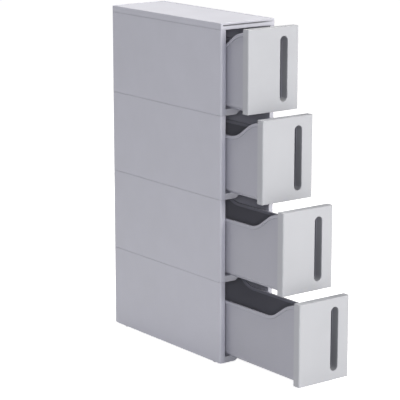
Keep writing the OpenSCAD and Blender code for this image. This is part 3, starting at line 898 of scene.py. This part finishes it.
def handled_edges():
    """Two masks by Pointiness: outer edges, broken up by noise, are paler, a painted highlight, and folds
    get painted shade.
    """
    tree, given, result = group(
        "handled_edges",
        [("Color", "NodeSocketColor", PALE_GREY), ("Roughness", "NodeSocketFloat", 0.45),
         ("Pale", "NodeSocketColor", (0.75, 0.75, 0.78, 1)), ("Amount", "NodeSocketFloat", 0.25),
         ("Dust", "NodeSocketFloat", 0.0)],
        [("Color", "NodeSocketColor"), ("Roughness", "NodeSocketFloat")])
    bend = node(tree, "ShaderNodeNewGeometry").outputs["Pointiness"]
    # Painted highlight: outer edges turn paler, broken up by noise.
    edge = remap(tree, bend, 0.52, 0.60, 0.0, 1.0)
    # Painted shade: folds are darkened towards the dark fold colour.
    fold = maths(tree, "MULTIPLY", remap(tree, bend, 0.44, 0.492, 1.0, 0.0), given["Dust"])
    broken = remap(tree, noise(tree, object_place(tree), 160.0, 4.0, 0.6), 0.35, 0.65, 0.35, 1.0)
    mask = maths(tree, "MULTIPLY", maths(tree, "MULTIPLY", edge, broken), given["Amount"])
    edge_highlit = mix_colour(tree, mask, given["Color"], given["Pale"])
    tree.links.new(mix_colour(tree, fold, edge_highlit, FOLD_SHADE), result["Color"])
    smoother = maths(tree, "MULTIPLY", mask, 0.12)
    tree.links.new(maths(tree, "SUBTRACT", given["Roughness"], smoother), result["Roughness"])
    return tree


GRAIN, EDGES = mould_grain(), handled_edges()
print("node groups:", [tree.name for tree in bpy.data.node_groups])

# %% [markdown]
# ## Finishes
# Each slot of the CAD record has one finish, and the lid has its own, with painted shade in its
# groove. The grip slots are darker inside with painted shade: the drawer fronts carry its depth as
# an attribute of their points.

# %% Plastic and steel
def new_material(name):
    """Material with its tree and its Principled shader."""
    mat = bpy.data.materials.new(name)
    mat.use_nodes = True
    return mat, mat.node_tree, mat.node_tree.nodes["Principled BSDF"]


def plastic(name, colour, gloss, cells=1400.0, bump=0.25, pale=0.25, fold_shade=0.0):
    """Satin moulded plastic: grain, then paler edges as painted highlight and painted shade in folds, then
    one Principled shader.
    """
    mat, tree, bsdf = new_material(name)
    skin = node(tree, "ShaderNodeGroup", node_tree=GRAIN)
    edges = node(tree, "ShaderNodeGroup", node_tree=EDGES)
    # Paler tone of the edges, for the painted highlight.
    paler = [min(1.0, part * 1.12 + 0.02) for part in colour]
    for shared, key, value in ((skin, "Color", (*colour, 1)), (skin, "Gloss", gloss),
                               (skin, "Grain Cells", cells), (skin, "Cloud", 0.025),
                               (edges, "Color", skin.outputs["Color"]),
                               (edges, "Roughness", skin.outputs["Roughness"]),
                               (edges, "Pale", (*paler, 1)), (edges, "Amount", pale),
                               (edges, "Dust", fold_shade)):
        feed(tree, shared.inputs[key], value)
    relief = node(tree, "ShaderNodeBump")
    relief.inputs["Strength"].default_value = bump
    relief.inputs["Distance"].default_value = 0.0006
    tree.links.new(skin.outputs["Height"], relief.inputs["Height"])
    tree.links.new(edges.outputs["Color"], bsdf.inputs["Base Color"])
    tree.links.new(edges.outputs["Roughness"], bsdf.inputs["Roughness"])
    tree.links.new(relief.outputs["Normal"], bsdf.inputs["Normal"])
    bsdf.inputs["IOR"].default_value = 1.49
    bsdf.inputs["Specular IOR Level"].default_value = 0.45
    return mat


def slot_painted_shade(mat, share):
    """Painted shade: the grip slot's inside is darker by so much, along the attribute "recess"."""
    tree = mat.node_tree
    base = tree.nodes["Principled BSDF"].inputs["Base Color"]
    recess = node(tree, "ShaderNodeAttribute", attribute_name="recess").outputs["Fac"]
    factor = remap(tree, recess, 0.0, 1.0, 1.0, 1.0 - share)
    tree.links.new(scale_colour(tree, base.links[0].from_socket, factor), base)
    return mat


def steel(name):
    """Drawn wire: a bright grey metal with fine lines along the axle, which lies along x."""
    mat, tree, bsdf = new_material(name)
    stretched = node(tree, "ShaderNodeMapping")
    stretched.inputs["Scale"].default_value = (60.0, 2500.0, 2500.0)
    tree.links.new(object_place(tree), stretched.inputs["Vector"])
    lines = noise(tree, stretched.outputs["Vector"], 1.0, 2.0, 0.5)
    tone = mix_colour(tree, lines, (0.50, 0.50, 0.52, 1.0), (0.62, 0.62, 0.64, 1.0))
    tree.links.new(tone, bsdf.inputs["Base Color"])
    tree.links.new(remap(tree, lines, 0.3, 0.7, 0.24, 0.42), bsdf.inputs["Roughness"])
    bsdf.inputs["Metallic"].default_value = 1.0
    return mat


CASING_GREY = (0.57, 0.573, 0.66)
FINISH = {
    "casing_plastic": plastic("casing_plastic", CASING_GREY, 0.46, pale=0.12),
    "shelf_plastic": plastic("shelf_plastic", (0.55, 0.553, 0.616), 0.48),
    # The boxes take painted shade in the fold under the rim.
    "box_plastic": plastic("box_plastic", (0.416, 0.418, 0.489), 0.44, fold_shade=0.65),
    # The fronts take painted shade inside the grip slots.
    "front_plastic": slot_painted_shade(plastic("front_plastic", (0.455, 0.463, 0.511), 0.42), 0.35),
    "liner_plastic": plastic("liner_plastic", (0.53, 0.535, 0.59), 0.50),
    "bracket_plastic": plastic("bracket_plastic", (0.42, 0.42, 0.45), 0.50),
    "wheel_plastic": plastic("wheel_plastic", (0.86, 0.86, 0.87), 0.30, cells=2200.0, bump=0.12),
    "axle_steel": steel("axle_steel"),
}
# The lid takes painted shade in its groove.
lid_finish = plastic("lid_plastic", CASING_GREY, 0.46, pale=0.12, fold_shade=0.75)

# %% Every piece takes its finish
slot_of = {part["node"]: part["material_slot"] for part in frame["record"]["subparts"]}
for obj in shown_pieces():
    slot = obj.get("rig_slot") or slot_of.get(obj.name)
    obj.data.materials.clear()
    obj.data.materials.append(lid_finish if obj == lid else FINISH[slot])

# %% [markdown]
# ## Floor, lamps and camera
# The photograph is a cut-out on white. The floor is a pale sheet that turns white for the camera
# and still takes the tower's soft shadow. Two lamps stand before the tower, one high and one lower,
# and light the drawer fronts. One above lights the lid, and a broad one at the left and behind
# lights the long panels. A small one just behind the camera opens the dark insides, and the
# surroundings fill the shade.

# %% Floor and surroundings
def floor_sheet(size):
    """Square floor of so many metres at height 0."""
    mesh = bpy.data.meshes.new("floor")
    s = size / 2
    mesh.from_pydata([(-s, -s, 0), (s, -s, 0), (s, s, 0), (-s, s, 0)], [], [(0, 1, 2, 3)])
    mat = bpy.data.materials.new("floor_white")
    mat.use_nodes = True
    tree = mat.node_tree
    tree.nodes.clear()
    out = node(tree, "ShaderNodeOutputMaterial")
    rays = node(tree, "ShaderNodeLightPath").outputs
    seen = maths(tree, "MAXIMUM", rays["Is Camera Ray"], rays["Is Glossy Ray"])
    matt, glow = node(tree, "ShaderNodeBsdfDiffuse"), node(tree, "ShaderNodeEmission")
    matt.inputs["Color"].default_value = (0.68, 0.68, 0.69, 1)
    tree.links.new(maths(tree, "MULTIPLY", seen, 0.90), glow.inputs["Strength"])
    both = node(tree, "ShaderNodeAddShader")
    tree.links.new(matt.outputs[0], both.inputs[0])
    tree.links.new(glow.outputs[0], both.inputs[1])
    tree.links.new(both.outputs[0], out.inputs["Surface"])
    mesh.materials.append(mat)
    obj = put("floor", mesh)


def surroundings(strength):
    """White for the camera, and a soft even light for everything else."""
    world = bpy.data.worlds.new("studio")
    bpy.context.scene.world = world
    world.use_nodes = True
    tree = world.node_tree
    tree.nodes.clear()
    out = node(tree, "ShaderNodeOutputWorld")
    back = node(tree, "ShaderNodeBackground")
    seen = node(tree, "ShaderNodeLightPath").outputs["Is Camera Ray"]
    tree.links.new(remap(tree, seen, 0.0, 1.0, strength, 1.0), back.inputs["Strength"])
    back.inputs["Color"].default_value = (0.96, 0.97, 1.0, 1)
    tree.links.new(back.outputs[0], out.inputs["Surface"])


floor_sheet(60.0)
surroundings(0.125)
print("floor and surroundings made")

# %% Lamps
WARM, COOL, PALE = (1.0, 0.985, 0.905), (0.94, 0.96, 1.0), (0.98, 0.98, 1.0)


def lamp(name, place, aim, size, power, colour):
    """Square area lamp of so many metres, pointed at aim."""
    data = bpy.data.lights.new(name, "AREA")
    data.shape, data.size, data.energy, data.color = "SQUARE", size, power, colour
    obj = put(name, data)
    obj.location = place
    obj.rotation_mode = "QUATERNION"
    obj.rotation_quaternion = (Vector(aim) - Vector(place)).to_track_quat("-Z", "Y")


lamp("front_lamp", (0.8, -3.5, 2.4), (0, -0.1, 0.4), 1.0, 34, WARM)
lamp("level_lamp", (0.3, -3.8, 1.4), (0, -0.1, 0.4), 1.0, 73, WARM)
lamp("top_lamp", (-0.1, 0.6, 3.4), (0, 0, 0.5), 1.6, 95, WARM)
lamp("side_lamp", (-3.2, 3.0, 1.5), (0, 0, 0.4), 2.0, 14, COOL)
lamp("inside_fill", (-2.75, -3.69, 1.4), (0, -0.1, 0.5), 0.5, 50, PALE)

# %% Camera
PHOTO_PIXELS = 400


def photo_camera(place, azimuth, elevation, focal_pixels):
    """Camera at the photograph's place, with its focal length in the photograph's pixels."""
    data = bpy.data.cameras.new("photo_camera")
    data.sensor_width = 36.0
    data.lens = focal_pixels * data.sensor_width / PHOTO_PIXELS
    data.clip_start, data.clip_end = 0.05, 200
    cam = put("photo_camera", data)
    a, e = math.radians(azimuth), math.radians(elevation)
    back = Vector((math.sin(a) * math.cos(e), -math.cos(a) * math.cos(e), math.sin(e)))
    cam.location = place
    cam.rotation_mode = "QUATERNION"
    cam.rotation_quaternion = (-back).to_track_quat("-Z", "Y")
    bpy.context.scene.camera = cam
    return cam


camera = photo_camera((-2.524, -3.382, 1.302), -37.01, 12.84, 1830)
bpy.context.scene.view_settings.view_transform = "Standard"
print("camera at", [round(v, 3) for v in camera.location], "lens", round(camera.data.lens, 1))
